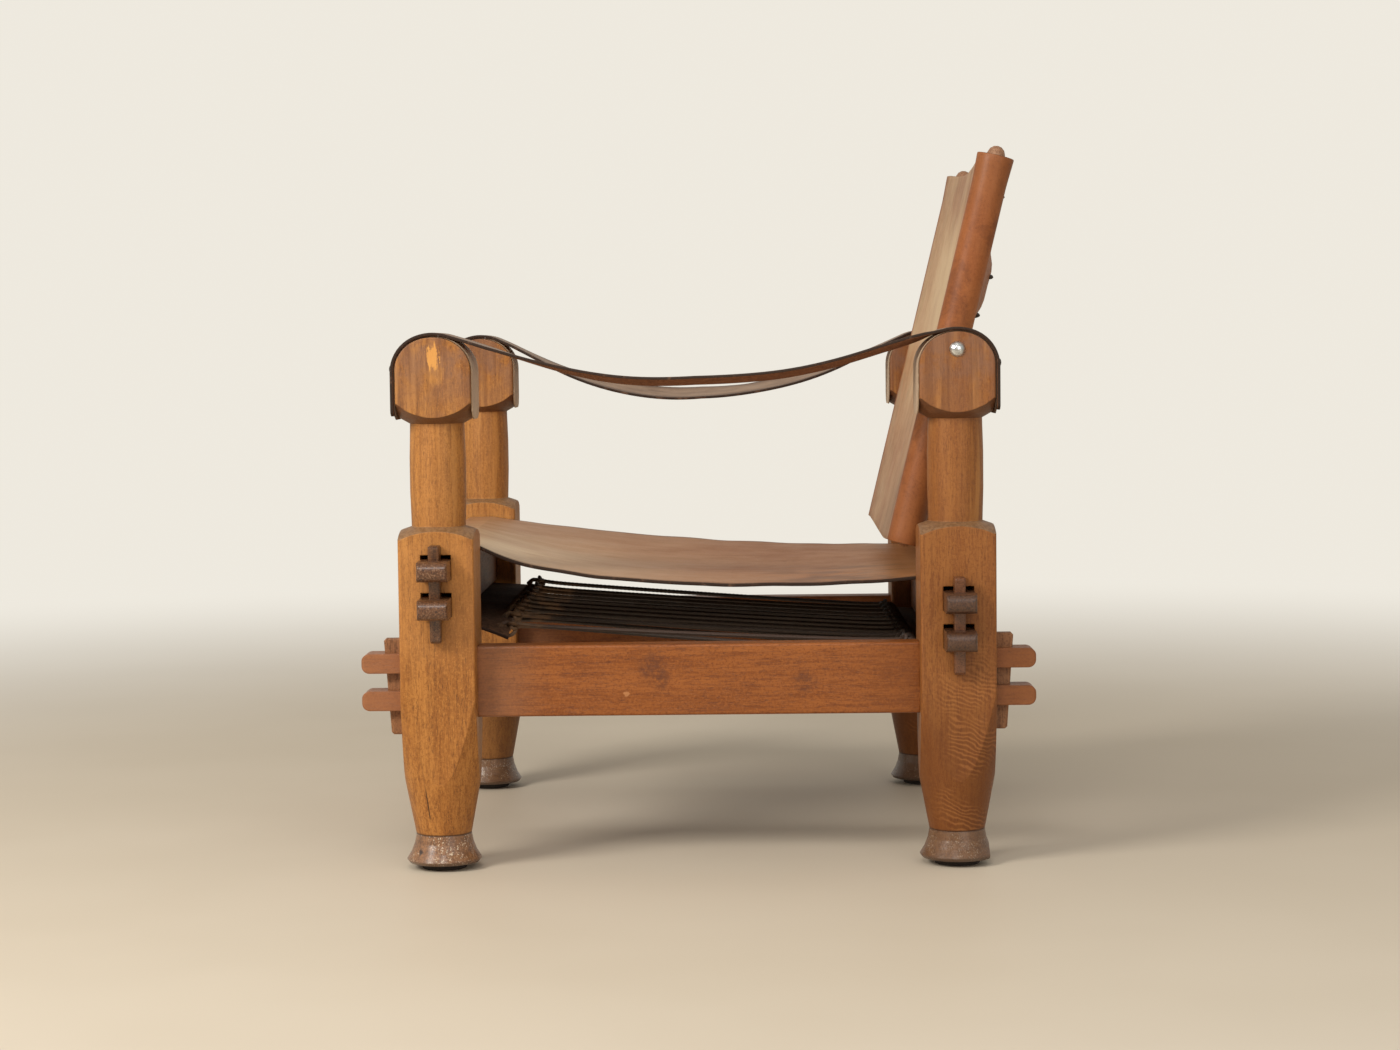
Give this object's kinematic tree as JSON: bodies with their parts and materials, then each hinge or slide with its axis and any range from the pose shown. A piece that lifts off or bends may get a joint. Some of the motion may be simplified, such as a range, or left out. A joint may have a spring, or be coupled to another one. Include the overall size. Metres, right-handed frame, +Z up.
{
  "type": "campaign armchair",
  "caption": "Low knock-down armchair: turned posts, rails on wedged through tenons, slung leather seat, tilting laced leather back and leather strap arms.",
  "frame": {"origin": "on the floor, under the middle of the chair's bounding box", "axes": "+Z up, front of the chair faces -Y, sitter's left is +X"},
  "size_m": [0.718, 0.718, 0.7667],
  "materials": {
    "post_wood": "oiled, honey brown, vertical grain",
    "rail_wood": "oiled, reddish brown",
    "wedge_wood": "dark brown, slightly polished",
    "foot_wood": "greyish brown, worn",
    "pole_wood": "oiled, reddish",
    "seat_leather": "saddle leather, semi-gloss, creased",
    "back_leather": "saddle leather, semi-gloss, orange brown",
    "strap_leather": "saddle leather, dark, worn",
    "pad_leather": "thin lining leather, matte",
    "cord": "braided black cord",
    "zinc": "bright zinc plated",
    "tack_steel": "dark bronzed steel",
    "glide": "dark hard plastic"
  },
  "bodies": {
    "frame": {"post_front_left": "post_wood", "foot_front_left": "foot_wood", "glide_front_left": "glide", "head_pad_front_left": "pad_leather", "strap_tacks_front_left": "tack_steel", "post_rear_left": "post_wood", "foot_rear_left": "foot_wood", "glide_rear_left": "glide", "head_pad_rear_left": "pad_leather", "strap_tacks_rear_left": "tack_steel", "rail_left": "rail_wood", "arm_strap_left": "strap_leather", "pivot_bolt_left": "zinc", "pivot_spacer_left": "zinc", "pivot_washer_left": "zinc", "cap_nut_left": "zinc", "post_front_right": "post_wood", "foot_front_right": "foot_wood", "glide_front_right": "glide", "head_pad_front_right": "pad_leather", "strap_tacks_front_right": "tack_steel", "post_rear_right": "post_wood", "foot_rear_right": "foot_wood", "glide_rear_right": "glide", "head_pad_rear_right": "pad_leather", "strap_tacks_rear_right": "tack_steel", "rail_right": "rail_wood", "arm_strap_right": "strap_leather", "pivot_bolt_right": "zinc", "pivot_spacer_right": "zinc", "pivot_washer_right": "zinc", "cap_nut_right": "zinc", "rail_front": "rail_wood", "rail_rear": "rail_wood", "seat_leather": "seat_leather", "seat_lacing": "cord"},
    "backrest": {"back_pole_left": "pole_wood", "back_pole_right": "pole_wood", "back_leather": "back_leather", "back_lacing": "cord"},
    "key_front_rail_left": {"wedge_front_rail_left": "wedge_wood"},
    "key_left_rail_front": {"wedge_left_rail_front": "wedge_wood"},
    "key_rear_rail_left": {"wedge_rear_rail_left": "wedge_wood"},
    "key_left_rail_rear": {"wedge_left_rail_rear": "wedge_wood"},
    "key_front_rail_right": {"wedge_front_rail_right": "wedge_wood"},
    "key_right_rail_front": {"wedge_right_rail_front": "wedge_wood"},
    "key_rear_rail_right": {"wedge_rear_rail_right": "wedge_wood"},
    "key_right_rail_rear": {"wedge_right_rail_rear": "wedge_wood"}
  },
  "joints": [
    {"name": "back_tilt", "type": "hinge", "parent": "frame", "child": "backrest", "pos_m": [0, 0.275, 0.549], "axis": [-1, 0, 0], "range_deg": [-13.7, 20]},
    {"name": "lift_front_rail_left", "type": "slide", "parent": "frame", "child": "key_front_rail_left", "axis": [0, 0, 1], "range_m": [0, 0.095]},
    {"name": "lift_left_rail_front", "type": "slide", "parent": "frame", "child": "key_left_rail_front", "axis": [0, 0, 1], "range_m": [0, 0.095]},
    {"name": "lift_rear_rail_left", "type": "slide", "parent": "frame", "child": "key_rear_rail_left", "axis": [0, 0, 1], "range_m": [0, 0.095]},
    {"name": "lift_left_rail_rear", "type": "slide", "parent": "frame", "child": "key_left_rail_rear", "axis": [0, 0, 1], "range_m": [0, 0.095]},
    {"name": "lift_front_rail_right", "type": "slide", "parent": "frame", "child": "key_front_rail_right", "axis": [0, 0, 1], "range_m": [0, 0.095]},
    {"name": "lift_right_rail_front", "type": "slide", "parent": "frame", "child": "key_right_rail_front", "axis": [0, 0, 1], "range_m": [0, 0.095]},
    {"name": "lift_rear_rail_right", "type": "slide", "parent": "frame", "child": "key_rear_rail_right", "axis": [0, 0, 1], "range_m": [0, 0.095]},
    {"name": "lift_right_rail_rear", "type": "slide", "parent": "frame", "child": "key_right_rail_rear", "axis": [0, 0, 1], "range_m": [0, 0.095]}
  ]
}
